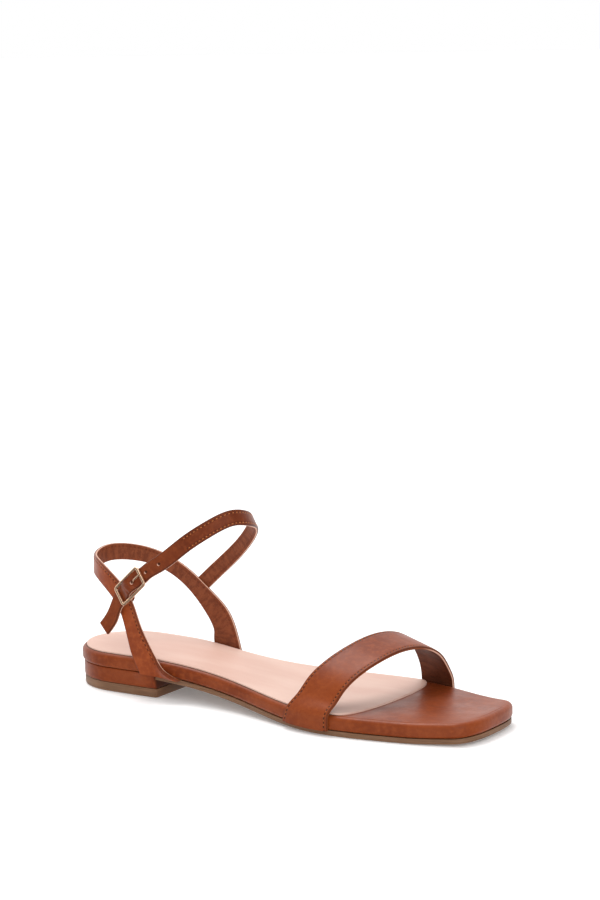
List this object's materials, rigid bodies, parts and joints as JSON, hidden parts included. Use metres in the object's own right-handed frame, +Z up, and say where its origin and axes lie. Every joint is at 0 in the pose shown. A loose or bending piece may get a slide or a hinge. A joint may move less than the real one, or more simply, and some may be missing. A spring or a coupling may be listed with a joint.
{
  "type": "ankle strap sandal",
  "caption": "Flat open-toe leather sandal, brown wrapped footbed on a low heel, wide toe strap, heel band and slim buckled ankle strap, right foot.",
  "frame": {"origin": "On the floor under the middle of the bounding box", "axes": "+X to the toe, +Y to the medial (big toe) side, +Z up"},
  "size_m": [0.2536, 0.0892, 0.1028],
  "materials": {
    "leather_brown": "smooth cognac leather with a soft gloss, roughness about 0.42",
    "leather_pale": "pale pink beige lining leather, matt, roughness about 0.6",
    "sole_tan": "tan sole leather, plain cut, roughness about 0.62",
    "metal_gold": "polished pale gold plating, roughness about 0.24"
  },
  "bodies": {
    "root": {"outsole": "sole_tan", "top_lift": "sole_tan", "heel_block": "leather_brown", "footbed": "leather_brown", "insole_sock": "leather_pale", "toe_strap": "leather_brown", "heel_and_ankle_strap": "leather_brown", "buckle_frame": "metal_gold", "buckle_prong": "metal_gold", "buckle_tab": "leather_brown"}
  },
  "joints": []
}
